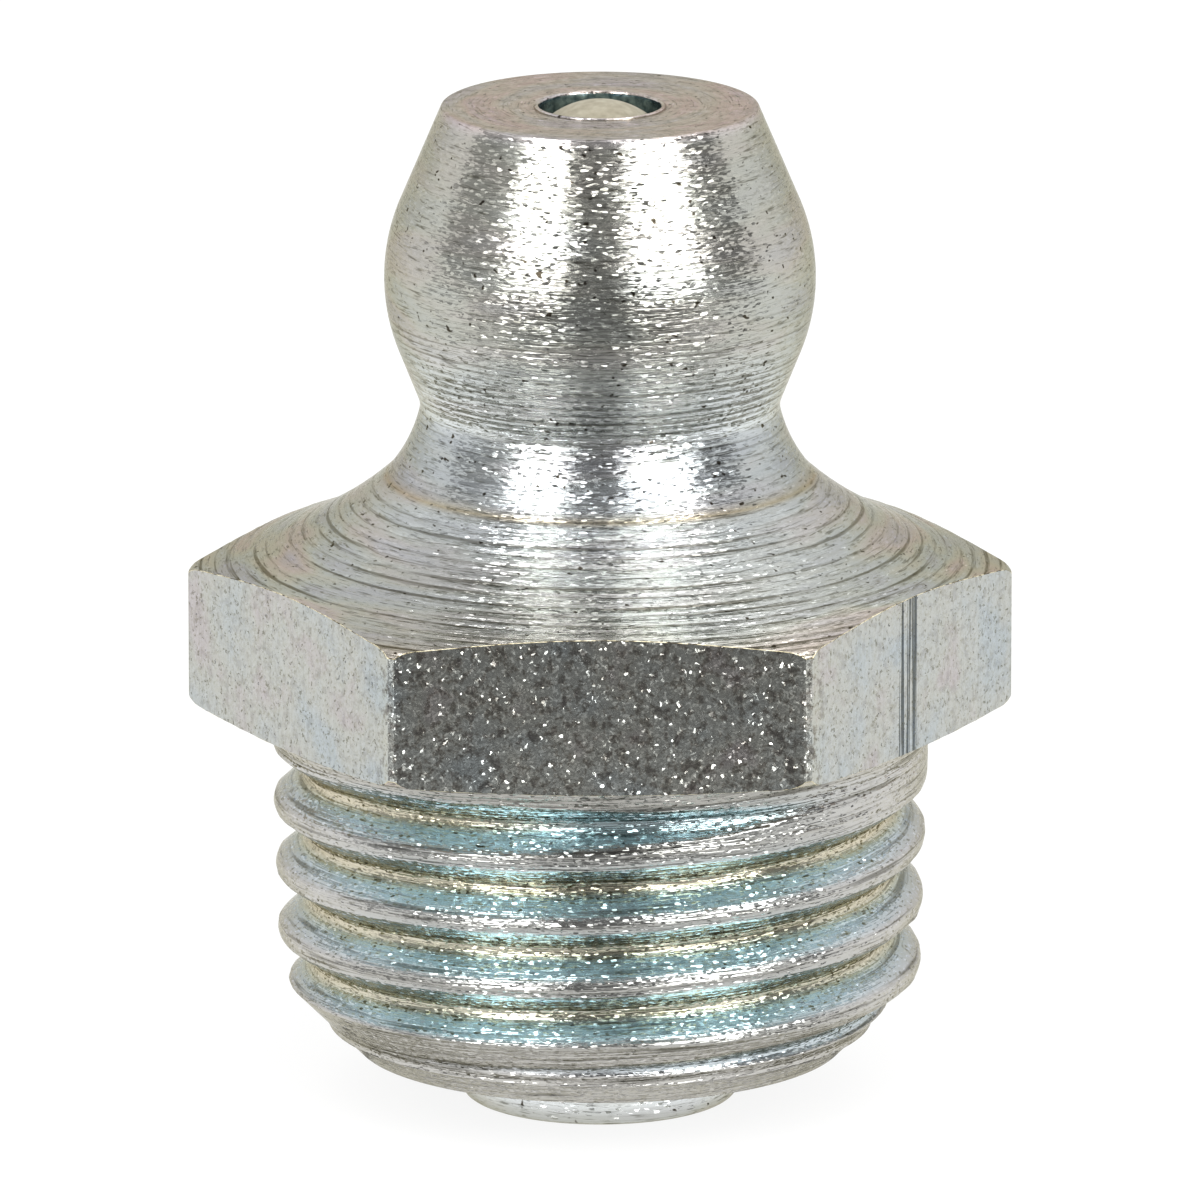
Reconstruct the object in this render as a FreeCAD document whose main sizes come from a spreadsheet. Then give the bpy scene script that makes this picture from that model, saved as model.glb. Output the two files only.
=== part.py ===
import FreeCAD, Part
import math
import os
import Sketcher

# Straight hydraulic grease nipple with a hexagon and a taper thread, in millimetres.
# The axis is Z with the head up, and the origin lies on the axis at the underside of the hexagon.
# One flat of the hexagon faces -Y.

SIZES = [
    ("across_flats", 11.0, "hexagonal bar over its flats"),
    ("bar_corner_radius", 0.25, "drawn radius on the six edges of the bar"),
    ("head_height", 9.52, "top face above the underside of the hexagon"),
    ("top_face_dia", 4.84, "flat face round the orifice"),
    ("top_edge_break", 0.06, "45 degree break on the rim of the top face"),
    ("head_dia", 6.6, "widest place of the head, which the coupler grips"),
    ("head_crest_height", 6.85, "height of the widest place"),
    ("head_radius", 2.98, "radius of the bulge of the head"),
    ("head_upper_angle", 23.1, "slope of the straight side above the bulge"),
    ("head_lower_angle", 21.9, "slope of the straight side below the bulge"),
    ("neck_dia", 5.48, "waist below the head"),
    ("neck_height", 4.88, "height of the waist"),
    ("neck_radius", 0.4, "rounding of the waist"),
    ("flare_dia", 6.5, "foot of the neck"),
    ("flare_height", 3.79, "height of the foot of the neck"),
    ("flare_radius", 2.4, "hollow of the neck above its foot"),
    ("collar_rim_height", 2.27, "height of the corners of the hexagon"),
    ("collar_radius", 6.1, "hollow of the collar between neck and corners"),
    ("underside_face_dia", 10.2, "flat part of the underside of the hexagon"),
    ("underside_angle", 8.0, "slope of the chamfer under the corners"),
    ("thread_dia", 10.12, "crest of the taper thread at the underside of the hexagon"),
    ("thread_taper", 16.0, "length in which the thread loses one of diameter"),
    ("thread_length", 5.22, "threaded end below the hexagon"),
    ("thread_pitch", 1.0, "one turn of the thread"),
    ("thread_depth", 0.5, "groove below the crest"),
    ("flank_angle", 30.0, "half of the angle between the flanks"),
    ("crest_width", 0.25, "flat left on the crest"),
    ("runout_depth", 0.5, "middle of the groove's last place, below the hexagon"),
    ("groove_overrun", 1.155, "start of the groove beyond the threaded end"),
    ("turn_gap", 0.01, "space between the turns of the cut, outside the crest"),
    ("tip_chamfer", 1.18, "45 degree lead at the end of the thread"),
    ("tail_dia", 4.3, "plain nose below the thread"),
    ("tail_length", 6.05, "end of the nose below the hexagon"),
    ("tail_edge_break", 0.2, "45 degree break on the rolled end"),
    ("orifice_dia", 1.87, "hole in the top face"),
    ("orifice_land", 0.31, "straight part of the hole above the seat"),
    ("seat_angle", 40.0, "half angle of the conical seat"),
    ("bore_dia", 2.9, "bore that guides ball and spring"),
    ("lip_thickness", 0.45, "rolled lip that holds the spring in"),
    ("lip_hole_dia", 1.7, "outlet through the lip"),
    ("ball_dia", 2.5, "valve ball"),
    ("spring_wire", 0.35, "wire of the spring"),
    ("spring_dia", 2.4, "outside of the coils"),
    ("spring_coils", 6, "free coils between the two closed ones"),
    ("closed_coil_gap", 0.03, "gap inside a closed end coil"),
    ("running_gap", 0.02, "clearance at the seat and at both ends of the spring"),
]

# Places that follow from the sizes, as formulas.
CORNER = "across_flats / sqrt(3)"
OUTSIDE = "across_flats"
ABOVE = "head_height + head_radius"
BULGE_CENTRE = "head_dia / 2 - head_radius"
BELOW = "-tail_length - thread_pitch"
UNDERSIDE_OUTSIDE = "(across_flats - underside_face_dia / 2) * tan(underside_angle)"
CHAMFER_TOP = "tip_chamfer - thread_length"
CHAMFER_RADIUS = f"(thread_dia + ({CHAMFER_TOP}) / thread_taper) / 2"
SEAT_TOP = "head_height - orifice_land"
SEAT_FOOT = f"{SEAT_TOP} - (bore_dia - orifice_dia) / 2 / tan(seat_angle)"
LIP_TOP = "lip_thickness - tail_length"
GROOVE_FOOT = "-thread_length - groove_overrun"
GROOVE_CREST = f"(thread_dia + ({GROOVE_FOOT}) / thread_taper) / 2"
GROOVE_RISE = "thread_length + groove_overrun - runout_depth"
GROOVE_REACH = f"{GROOVE_CREST} + (crest_width - turn_gap) / 2 / tan(flank_angle)"
GROOVE_ROOT = f"{GROOVE_CREST} - thread_depth"
GROOVE_MOUTH = "(thread_pitch - turn_gap) / 2"
GROOVE_BED = "(thread_pitch - crest_width) / 2 - thread_depth * tan(flank_angle)"
BALL_HEIGHT = (
    f"{SEAT_TOP} + (orifice_dia / 2 * cos(seat_angle) - ball_dia / 2 - running_gap) / sin(seat_angle)"
)
COIL_RADIUS = "(spring_dia - spring_wire) / 2"
CLOSED_PITCH = "spring_wire + closed_coil_gap"
COIL_FOOT = f"{LIP_TOP} + spring_wire / 2 + running_gap"
BALL_TO_COIL = "ball_dia / 2 + spring_wire / 2 + running_gap"
COIL_TOP = f"{BALL_HEIGHT} - sqrt(({BALL_TO_COIL})^2 - ({COIL_RADIUS})^2)"
FREE_FOOT = f"{COIL_FOOT} + {CLOSED_PITCH}"
FREE_TOP = f"{COIL_TOP} - ({CLOSED_PITCH})"

START, END = 1, 2
ORIGIN = -1
OUTWARD, INWARD = 1, -1
ADD, CUT = "PartDesign::Revolution", "PartDesign::Groove"
SAME_PLACE = 1e-6

doc = FreeCAD.newDocument("grease_nipple")
sheet = doc.addObject("Spreadsheet::Sheet", "Sheet")


def fill_sheet():
    for row, (name, size, meaning) in enumerate(SIZES, start=1):
        sheet.set(f"A{row}", name)
        sheet.set(f"B{row}", str(size))
        sheet.set(f"C{row}", meaning)
        sheet.setAlias(f"B{row}", name)
    doc.recompute()


def number(formula):
    result = sheet.evalExpression(formula)
    return float(getattr(result, "Value", result))


def linked(formula):
    """The formula with each size read from the sheet."""
    for name in sorted((row[0] for row in SIZES), key=len, reverse=True):
        formula = formula.replace(name, f"<<{name}>>")
    for name, _, _ in SIZES:
        formula = formula.replace(f"<<{name}>>", f"Sheet.{name}")
    return formula


def bind(item, path, formula):
    item.setExpression(path, linked(formula))


def new_body(label):
    body = doc.addObject("PartDesign::Body", label)
    body.Label = label
    return body


def new_sketch(body, name, role):
    sketch = body.newObject("Sketcher::SketchObject", name)
    plane = next(item for item in body.Origin.OriginFeatures if item.Role == role)
    sketch.AttachmentSupport = [(plane, "")]
    sketch.MapMode = "FlatFace"
    return sketch


def constrain(sketch, name, formula, *reference):
    """Adds a constraint whose value is a formula: its kind and places come first in reference."""
    index = sketch.addConstraint(Sketcher.Constraint(*reference, number(formula)))
    sketch.renameConstraint(index, name)
    bind(sketch, f"Constraints.{name}", formula)


def fix_point(sketch, name, curve, place, across, up):
    constrain(sketch, f"{name}_across", across, "DistanceX", ORIGIN, START, curve, place)
    constrain(sketch, f"{name}_up", up, "DistanceY", ORIGIN, START, curve, place)


def arc_between(start, end, radius, side):
    """An arc from start to end that bulges to the left of that direction where side is 1."""
    half = (end - start) * 0.5
    rise = radius - math.sqrt(radius**2 - half.Length**2)
    left = FreeCAD.Vector(-half.y, half.x, 0).normalize()
    return Part.Arc(start, start + half + left * (side * rise), end)


def draw_side(sketch, start, end, arc):
    """Draws one side and returns it with the places of its first and last point."""
    if arc is None:
        return sketch.addGeometry(Part.LineSegment(start, end)), START, END
    radius, side = arc
    curve = sketch.addGeometry(arc_between(start, end, number(radius), side))
    constrain(sketch, f"radius_{curve}", radius, "Radius", curve)
    if sketch.getPoint(curve, START).isEqual(start, SAME_PLACE):
        return curve, START, END
    return curve, END, START


def draw_outline(sketch, corners, arcs=None):
    """Draws a closed outline. arcs gives radius and side of the round sides by their first corner."""
    arcs = arcs or {}
    points = [FreeCAD.Vector(number(across), number(up), 0) for across, up in corners]
    sides = []
    for index, start in enumerate(points):
        end = points[(index + 1) % len(points)]
        sides.append(draw_side(sketch, start, end, arcs.get(index)))
    for index, (across, up) in enumerate(corners):
        curve, first, _ = sides[index]
        before, _, last = sides[index - 1]
        sketch.addConstraint(Sketcher.Constraint("Coincident", before, last, curve, first))
        fix_point(sketch, f"corner_{index}", curve, first, across, up)


def turn(body, kind, name, corners, arcs=None):
    """Adds or cuts away the outline all round the axis."""
    sketch = new_sketch(body, f"{name}_outline", "XZ_Plane")
    draw_outline(sketch, corners, arcs)
    feature = body.newObject(kind, name)
    feature.Profile = sketch
    feature.ReferenceAxis = (sketch, ["V_Axis"])
    feature.Angle = 360


def round_edges(body, name, radius, wanted):
    """Rounds the edges of the body that the test wanted accepts."""
    doc.recompute()
    base = body.Tip
    chosen = [f"Edge{index}" for index, edge in enumerate(base.Shape.Edges, start=1) if wanted(edge)]
    fillet = body.newObject("PartDesign::Fillet", name)
    fillet.Base = (base, chosen)
    bind(fillet, "Radius", radius)


def is_upright(edge):
    low, high = edge.BoundBox.ZMin, edge.BoundBox.ZMax
    return abs(high - low - edge.Length) < SAME_PLACE


def ring_test(diameter, height):
    """A test for the edge that runs round the axis with this diameter at this height."""
    radius, level = number(diameter) / 2, number(height)

    def is_ring(edge):
        box = edge.BoundBox
        flat = abs(box.ZMin - level) + abs(box.ZMax - level) < SAME_PLACE * 10
        return flat and abs(box.XMax - radius) < SAME_PLACE * 10

    return is_ring


def hexagon(reach, across="0", up="0"):
    """The corners of a hexagon about a place, the first straight across from it."""
    turns = range(0, 360, 60)
    return [(f"{across} + {reach} * cos({turn})", f"{up} + {reach} * sin({turn})") for turn in turns]


def cut_bar(body):
    sketch = new_sketch(body, "bar_section", "XY_Plane")
    draw_outline(sketch, hexagon(CORNER))
    bar = body.newObject("PartDesign::Pad", "bar")
    bar.Profile = sketch
    bind(bar, "Length", "head_height")
    round_edges(body, "bar_edges", "bar_corner_radius", is_upright)


def turn_head(body):
    corners = [
        ("top_face_dia / 2 - top_edge_break", ABOVE),
        ("top_face_dia / 2 - top_edge_break", "head_height"),
        ("top_face_dia / 2", "head_height - top_edge_break"),
        bulge_end("head_upper_angle"),
        bulge_end("-head_lower_angle"),
        ("neck_dia / 2", "neck_height"),
        ("flare_dia / 2", "flare_height"),
        (CORNER, "collar_rim_height"),
        (OUTSIDE, "collar_rim_height"),
        (OUTSIDE, ABOVE),
    ]
    bulge, flare, collar = 3, 5, 6
    arcs = {
        bulge: ("head_radius", OUTWARD),
        flare: ("flare_radius", INWARD),
        collar: ("collar_radius", INWARD),
    }
    turn(body, CUT, "head", corners, arcs)
    round_edges(body, "neck_rounding", "neck_radius", ring_test("neck_dia", "neck_height"))


def bulge_end(angle):
    across = f"{BULGE_CENTRE} + head_radius * cos({angle})"
    return across, f"head_crest_height + head_radius * sin({angle})"


def turn_underside(body):
    corners = [
        ("underside_face_dia / 2", "0"),
        (OUTSIDE, UNDERSIDE_OUTSIDE),
        (OUTSIDE, "0"),
    ]
    turn(body, CUT, "underside", corners)


def turn_shank(body):
    corners = [
        ("0", "0"),
        ("thread_dia / 2", "0"),
        ("(thread_dia - tail_length / thread_taper) / 2", "-tail_length"),
        ("0", "-tail_length"),
    ]
    turn(body, ADD, "shank", corners)


def turn_tip(body):
    corners = [
        (f"{CHAMFER_RADIUS} + tip_chamfer", f"{CHAMFER_TOP} + tip_chamfer"),
        (OUTSIDE, f"{CHAMFER_TOP} + tip_chamfer"),
        (OUTSIDE, BELOW),
        ("tail_dia / 2 - tail_edge_break", BELOW),
        ("tail_dia / 2 - tail_edge_break", "-tail_length"),
        ("tail_dia / 2", "tail_edge_break - tail_length"),
        ("tail_dia / 2", "-thread_length"),
        (f"{CHAMFER_RADIUS} - tip_chamfer", "-thread_length"),
    ]
    turn(body, CUT, "tip", corners)


def drill_bore(body):
    corners = [
        ("0", ABOVE),
        ("orifice_dia / 2", ABOVE),
        ("orifice_dia / 2", SEAT_TOP),
        ("bore_dia / 2", SEAT_FOOT),
        ("bore_dia / 2", LIP_TOP),
        ("lip_hole_dia / 2", LIP_TOP),
        ("lip_hole_dia / 2", BELOW),
        ("0", BELOW),
    ]
    turn(body, CUT, "bore", corners)


def cut_thread(body):
    sketch = new_sketch(body, "groove_section", "XZ_Plane")
    corners = [
        (GROOVE_ROOT, f"{GROOVE_FOOT} - ({GROOVE_BED})"),
        (GROOVE_REACH, f"{GROOVE_FOOT} - {GROOVE_MOUTH}"),
        (GROOVE_REACH, f"{GROOVE_FOOT} + {GROOVE_MOUTH}"),
        (GROOVE_ROOT, f"{GROOVE_FOOT} + ({GROOVE_BED})"),
    ]
    draw_outline(sketch, corners)
    wind(body, "PartDesign::SubtractiveHelix", "thread", sketch, "thread_pitch", GROOVE_RISE)
    bind(body.Tip, "Angle", "atan(1 / (2 * thread_taper))")


def wind(body, kind, name, sketch, pitch, rise):
    """Winds the sketch up round the axis with the given pitch, over the given rise."""
    helix = body.newObject(kind, name)
    helix.Profile = sketch
    helix.ReferenceAxis = (sketch, ["V_Axis"])
    helix.Mode = "pitch-height-angle"
    bind(helix, "Pitch", pitch)
    bind(helix, "Height", rise)


def make_nipple_body():
    body = new_body("nipple_body")
    cut_bar(body)
    turn_head(body)
    turn_underside(body)
    turn_shank(body)
    cut_thread(body)
    turn_tip(body)
    drill_bore(body)
    return body


def make_ball():
    ball = doc.addObject("Part::Sphere", "check_ball")
    ball.Label = "check_ball"
    bind(ball, "Radius", "ball_dia / 2")
    bind(ball, "Placement.Base.z", BALL_HEIGHT)
    return ball


def make_spring():
    """The wire is six-sided, with its corners on the round of the real wire."""
    body = new_body("spring")
    coils = [
        ("lower_coil", COIL_FOOT, CLOSED_PITCH, CLOSED_PITCH),
        ("free_coils", FREE_FOOT, f"({FREE_TOP} - ({FREE_FOOT})) / spring_coils", f"{FREE_TOP} - ({FREE_FOOT})"),
        ("upper_coil", FREE_TOP, CLOSED_PITCH, CLOSED_PITCH),
    ]
    for name, foot, pitch, rise in coils:
        sketch = new_sketch(body, f"{name}_wire", "XZ_Plane")
        draw_outline(sketch, hexagon("spring_wire / 2", COIL_RADIUS, foot))
        wind(body, "PartDesign::AdditiveHelix", name, sketch, pitch, rise)
    return body


def check_model():
    doc.recompute()
    for item in doc.Objects:
        failed = {"Invalid", "Error"} & set(item.State)
        if failed:
            raise RuntimeError(f"{item.Name} is not built: {item.State}")


def export_nodes(nodes):
    os.makedirs("parts", exist_ok=True)
    for node in nodes:
        shape = node.Shape
        if shape.isNull() or not shape.isValid():
            raise RuntimeError(f"{node.Label} has no valid shape")
        shape.exportStep(os.path.join("parts", f"{node.Label}.step"))
        print(node.Label, "solids", len(shape.Solids), "volume", round(shape.Volume, 4))


fill_sheet()
pieces = [make_nipple_body(), make_ball(), make_spring()]
check_model()
export_nodes(pieces)
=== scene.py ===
import bpy
import bmesh
import math
from mathutils import Matrix, Vector, noise


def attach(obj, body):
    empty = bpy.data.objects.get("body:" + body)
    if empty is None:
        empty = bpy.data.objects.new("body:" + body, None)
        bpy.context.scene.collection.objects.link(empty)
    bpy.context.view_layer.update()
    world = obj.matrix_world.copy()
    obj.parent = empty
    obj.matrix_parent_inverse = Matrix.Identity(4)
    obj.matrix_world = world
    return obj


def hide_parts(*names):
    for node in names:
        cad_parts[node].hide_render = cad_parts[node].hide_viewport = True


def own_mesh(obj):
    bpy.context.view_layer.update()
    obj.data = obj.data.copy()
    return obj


# Straight hydraulic grease nipple, zinc plated and blue passivated, on a pale floor.
# Meshes are shaped in millimetres and brought to metres when they are finished.

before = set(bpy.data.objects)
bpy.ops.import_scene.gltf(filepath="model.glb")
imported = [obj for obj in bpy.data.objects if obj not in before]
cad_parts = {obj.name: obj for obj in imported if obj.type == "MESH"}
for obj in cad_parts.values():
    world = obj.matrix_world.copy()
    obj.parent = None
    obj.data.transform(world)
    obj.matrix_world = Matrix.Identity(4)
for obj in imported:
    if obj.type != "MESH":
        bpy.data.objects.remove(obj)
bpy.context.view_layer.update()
millimetre = 0.001
print("frame loaded")


def toLinear(hexColour):
    channels = [int(hexColour[i:i + 2], 16) / 255 for i in (1, 3, 5)]
    return [c / 12.92 if c <= 0.04045 else ((c + 0.055) / 1.055) ** 2.4 for c in channels] + [1.0]


def addNode(tree, kind, settings=None, values=None, links=None, stops=None):
    node = tree.nodes.new(kind)
    for name, value in (settings or {}).items():
        setattr(node, name, value)
    for socket, value in (values or {}).items():
        node.inputs[socket].default_value = value
    for socket, source in (links or {}).items():
        tree.links.new(source, node.inputs[socket])
    if stops:
        ramp = node.color_ramp
        while len(ramp.elements) < len(stops):
            ramp.elements.new(1.0)
        for element, (place, colour) in zip(ramp.elements, stops):
            element.position = place
            element.color = toLinear(colour)
    return node


def newMaterial(name):
    material = bpy.data.materials.new(name)
    material.use_nodes = True
    material.node_tree.nodes.clear()
    return material, material.node_tree


def linkMesh(name, bm, outward=False):
    # A piece's faces are turned outwards, and a sheet keeps the side that it was given.
    bmesh.ops.scale(bm, vec=Vector((millimetre,) * 3), verts=bm.verts)
    if outward:
        bmesh.ops.recalc_face_normals(bm, faces=bm.faces)
    mesh = bpy.data.meshes.new(name)
    bm.to_mesh(mesh)
    bm.free()
    made = bpy.data.objects.new(name, mesh)
    bpy.context.scene.collection.objects.link(made)
    return made


def rampUp(value, start, stop):
    return min(max((value - start) / (stop - start), 0.0), 1.0)


# camera, at the photograph's angle: lengths in mm, but the clipping distances in metres
shot = {
    "aimHeight": 1.75,
    "elevation": 13.89,
    "distance": 323.0,
    "lens": 631.8,
    "sensor": 36.0,
    "clipNear": 0.01,
    "clipFar": 10.0,
}


def makeCamera():
    data = bpy.data.cameras.new("camera")
    data.lens, data.sensor_width = shot["lens"], shot["sensor"]
    data.clip_start, data.clip_end = shot["clipNear"], shot["clipFar"]
    camera = bpy.data.objects.new("camera", data)
    bpy.context.scene.collection.objects.link(camera)
    tilt = math.radians(shot["elevation"])
    back = Vector((0, -math.cos(tilt), math.sin(tilt)))
    aim = Vector((0, 0, shot["aimHeight"]))
    camera.location = (aim + back * shot["distance"]) * millimetre
    camera.rotation_euler = (-back).to_track_quat("-Z", "Y").to_euler()
    bpy.context.scene.camera = camera
    bpy.context.scene.view_settings.view_transform = "Standard"


# floor, lamps, the cards that the plating mirrors, and rings of painted shadow round the foot
studio = {
    "floorHeight": -6.05,
    "floorSize": 4000.0,
    "floorColour": "#f2f2f0",
    "floorGlow": 0.86,
    "ambient": 0.8,
    # azimuth to the right of the camera and elevation in degrees, distance, width, height in mm, watts
    "lamps": {
        "left_softbox": (-37, 40, 420, 265, 500, 1.9),
        "right_softbox": (38, 40, 420, 330, 500, 2.3),
    },
    # azimuth and elevation in degrees, distance, width, height in mm, grey
    "cards": {
        "right_card": (74, 20, 520, 338, 420, 0.18),
        "left_card": (-78, 20, 520, 420, 420, 0.38),
        "back_card": (180, 22, 700, 1900, 620, 0.85),
        "top_card": (180, 70, 700, 1100, 900, 0.68),
    },
    # left and right edge in mm, from and to which elevation in degrees, distance in mm, grey
    "arches": {
        "dark_arch": (-131, 109, -0.8, 72, 380, 0.12),
        "bright_arch": (22, 80, 66, 136, 400, 2.0),
        "soft_arch": (80, 190, 66, 136, 400, 1.15),
    },
    # left, right, near, far edge on the floor in mm, grey
    "floorCards": {
        "near_floor_card": (-30, 28, -10.5, -27, 0.42),
        "far_floor_card": (-115, 105, -27, -330, 0.17),
    },
    "floorCardLift": 0.005,
    # painted shadow on the floor round the foot, seen only in the plating's reflections: inner and outer
    # radius in mm, grey
    "shadowRings": {
        "inner_painted_shadow_ring": (3.88, 4.12, 0.3),
        "outer_painted_shadow_ring": (4.36, 4.62, 0.35),
    },
    "shadowRingLift": 0.01,
    "archSteps": 16,
    "ringSteps": 48,
}


def towards(azimuth, elevation):
    a, e = math.radians(azimuth), math.radians(elevation)
    return Vector((math.sin(a) * math.cos(e), -math.cos(a) * math.cos(e), math.sin(e)))


def glowMaterial(name, level):
    material, tree = newMaterial(name)
    glow = addNode(tree, "ShaderNodeEmission", values={"Color": (level, level, level, 1), "Strength": 1.0})
    addNode(tree, "ShaderNodeOutputMaterial", links={"Surface": glow.outputs[0]})
    return material


def seenOrMirrored(tree):
    # 1 for rays from the camera, off a mirror or through glass, and 0 for those that only carry light.
    path = addNode(tree, "ShaderNodeLightPath")
    seen = addNode(tree, "ShaderNodeMath", {"operation": "MAXIMUM"},
                   links={0: path.outputs["Is Camera Ray"], 1: path.outputs["Is Glossy Ray"]})
    return addNode(tree, "ShaderNodeMath", {"operation": "MAXIMUM"},
                   links={0: seen.outputs[0], 1: path.outputs["Is Transmission Ray"]}).outputs[0]


def floorMaterial():
    # Matte paper: the camera and mirror rays see it near white, the rest of it keeps the shadow.
    material, tree = newMaterial("pale_paper_floor")
    share = addNode(tree, "ShaderNodeMath", {"operation": "MULTIPLY"}, {1: studio["floorGlow"]},
                    {0: seenOrMirrored(tree)})
    paper = addNode(tree, "ShaderNodeBsdfDiffuse", values={"Color": toLinear(studio["floorColour"])})
    white = addNode(tree, "ShaderNodeEmission", values={"Color": (1, 1, 1, 1), "Strength": 1.0})
    mixed = addNode(tree, "ShaderNodeMixShader",
                    links={0: share.outputs[0], 1: paper.outputs[0], 2: white.outputs[0]})
    addNode(tree, "ShaderNodeOutputMaterial", links={"Surface": mixed.outputs[0]})
    return material


def placeSheet(name, bm, material, cameraSees):
    sheet = linkMesh(name, bm)
    sheet.data.materials.append(material)
    if not cameraSees:
        sheet.visible_camera = False
        sheet.visible_diffuse = False
        sheet.visible_transmission = False
        sheet.visible_shadow = False


def stageSheet(name, width, height, centre, facing, material, cameraSees):
    bm = bmesh.new()
    bmesh.ops.create_grid(bm, x_segments=1, y_segments=1, size=0.5)
    bmesh.ops.scale(bm, vec=Vector((width, height, 1)), verts=bm.verts)
    turn = facing.to_track_quat("Z", "Y").to_matrix()
    bmesh.ops.rotate(bm, cent=Vector((0, 0, 0)), matrix=turn, verts=bm.verts)
    bmesh.ops.translate(bm, vec=centre, verts=bm.verts)
    placeSheet(name, bm, material, cameraSees)


def makeArch(name, left, right, start, stop, radius, level):
    bm = bmesh.new()
    ends = [bm.verts.new((x, -radius, 0)) for x in (left, right)]
    edge = bm.edges.new(ends)
    tilt = Matrix.Rotation(math.radians(-start), 3, "X")
    bmesh.ops.rotate(bm, cent=Vector((0, 0, 0)), matrix=tilt, verts=ends)
    bmesh.ops.spin(bm, geom=[*ends, edge], cent=Vector((0, 0, 0)), axis=Vector((-1, 0, 0)),
                   angle=math.radians(stop - start), steps=studio["archSteps"])
    placeSheet(name, bm, glowMaterial(name, level), False)


# A ring of painted shadow on the floor round the foot, which only the plating's reflections see.
def makeShadowRing(name, inner, outer, level):
    bm = bmesh.new()
    ends = [bm.verts.new((r, 0, studio["floorHeight"] + studio["shadowRingLift"])) for r in (inner, outer)]
    edge = bm.edges.new(ends)
    bmesh.ops.spin(bm, geom=[*ends, edge], cent=Vector((0, 0, 0)), axis=Vector((0, 0, 1)),
                   angle=math.tau, steps=studio["ringSteps"], use_merge=True)
    placeSheet(name, bm, glowMaterial(name, level), False)


def makeStudio():
    size = studio["floorSize"]
    stageSheet("floor", size, size, Vector((0, 0, studio["floorHeight"])), Vector((0, 0, 1)),
               floorMaterial(), True)
    for name, (azimuth, elevation, distance, width, height, level) in studio["cards"].items():
        place = towards(azimuth, elevation)
        stageSheet(name, width, height, place * distance, -place, glowMaterial(name, level), False)
    for name, arch in studio["arches"].items():
        makeArch(name, *arch)
    for name, (left, right, near, far, level) in studio["floorCards"].items():
        height = studio["floorHeight"] + studio["floorCardLift"]
        centre = Vector(((left + right) / 2, (near + far) / 2, height))
        stageSheet(name, right - left, near - far, centre, Vector((0, 0, 1)), glowMaterial(name, level),
                   False)
    # rings of painted shadow round the foot
    for name, ring in studio["shadowRings"].items():
        makeShadowRing(name, *ring)
    for name, (azimuth, elevation, distance, width, height, watts) in studio["lamps"].items():
        data = bpy.data.lights.new(name, "AREA")
        data.shape = "RECTANGLE"
        data.size, data.size_y = width * millimetre, height * millimetre
        data.energy = watts
        lamp = bpy.data.objects.new(name, data)
        place = towards(azimuth, elevation)
        lamp.location = place * distance * millimetre
        lamp.rotation_euler = (-place).to_track_quat("-Z", "Y").to_euler()
        bpy.context.scene.collection.objects.link(lamp)
    makeWorld()


def makeWorld():
    world = bpy.data.worlds.new("studio")
    bpy.context.scene.world = world
    world.use_nodes = True
    tree = world.node_tree
    tree.nodes.clear()
    level = addNode(tree, "ShaderNodeMapRange", values={"To Min": studio["ambient"], "To Max": 1.0},
                    links={"Value": seenOrMirrored(tree)})
    sky = addNode(tree, "ShaderNodeBackground", values={"Color": (1, 1, 1, 1)},
                  links={"Strength": level.outputs[0]})
    addNode(tree, "ShaderNodeOutputWorld", links={"Surface": sky.outputs[0]})


makeCamera()
makeStudio()
print("camera and studio made")


# the slots of the body's finishes
finish = {"turned": 0, "drawn": 1, "thread": 2, "bore": 3, "torn": 4}

# turned body: one closed outline, spun round the axis
# Each step goes on from the last place: a line to radius and height, or an arc about a centre,
# turned clockwise in degrees. The last figure is the number of rows.
nipple = {
    "columns": 168,
    "closeWithin": 0.004,
    "weldWithin": 1e-5,
    "start": (0.935, 9.21),
    "outline": [
        ("line", 0.935, 9.502, 5),
        ("arc", 0.968, 9.502, 180, 6),
        ("line", 1.003, 9.516, 1),
        ("line", 2.388, 9.52, 13),
        ("arc", 2.388, 9.47, 66.9, 4),
        ("line", 3.061, 8.019, 16),
        ("arc", 0.32, 6.85, 45.0, 26),
        ("line", 2.7857, 4.9937, 8),
        ("arc", 3.1568, 4.8446, -35.65, 6),
        ("arc", 5.0996, 5.3197, -25.84, 8),
        ("arc", 7.3753, 8.2832, -31.16, 26),
        ("arc", 6.1305, 2.1079, 78.6, 5),
        ("line", 6.3305, 0.3468, 3),
        ("arc", 6.1305, 0.3468, 82.0, 5),
        ("line", 5.2, 0.014, 5),
        ("line", 5.075, -0.24, 8),
        ("line", 4.934, -4.04, 264),
        ("line", 4.21, -4.764, 46),
        ("line", 4.189, -4.809, 2),
        ("line", 4.189, -4.854, 2),
        ("line", 4.12, -4.854, 2),
        ("line", 3.754, -5.22, 24),
        ("line", 2.15, -5.22, 6),
        ("line", 2.15, -5.84, 6),
        ("arc", 1.94, -5.84, 90, 6),
        ("line", 0.85, -6.05, 4),
        ("line", 0.85, -5.6, 2),
        ("line", 1.45, -5.6, 2),
        ("line", 1.45, 8.596, 12),
        ("line", 0.935, 9.21, 4),
    ],
    # mm between feed marks, up to so many mm along the outline
    "feeds": ((5.2, 0.10), (7.9, 0.13), (11.4, 0.21), (99, 0.10)),
    "acrossFlats": 11.0,
    # degrees from the corner, and reach in mm
    "cornerCuts": ((0, 6.312), (-18, 6.02), (18, 6.02)),
    # a cut takes the faces above this height that reach to within so many mm of its plane
    "cutAbove": -0.01,
    "cutMargin": 0.6,
    "burr": 0.11,
    "burrRows": 3,
    "crumble": 0.04,
    # waves to a mm, and weight, of the crumbs in the burr
    "crumbs": ((3.1, 1.0), (9.0, 0.6)),
    # the thread lies outside the first radius, the bore inside the second and between two heights
    "shankRadius": 3.7,
    "boreRadius": 1.46,
    "boreFoot": -6.0,
    "boreTop": 9.5,
    # radians from which an edge of a flat is sharp
    "sharpAngle": 0.5,
}
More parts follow.
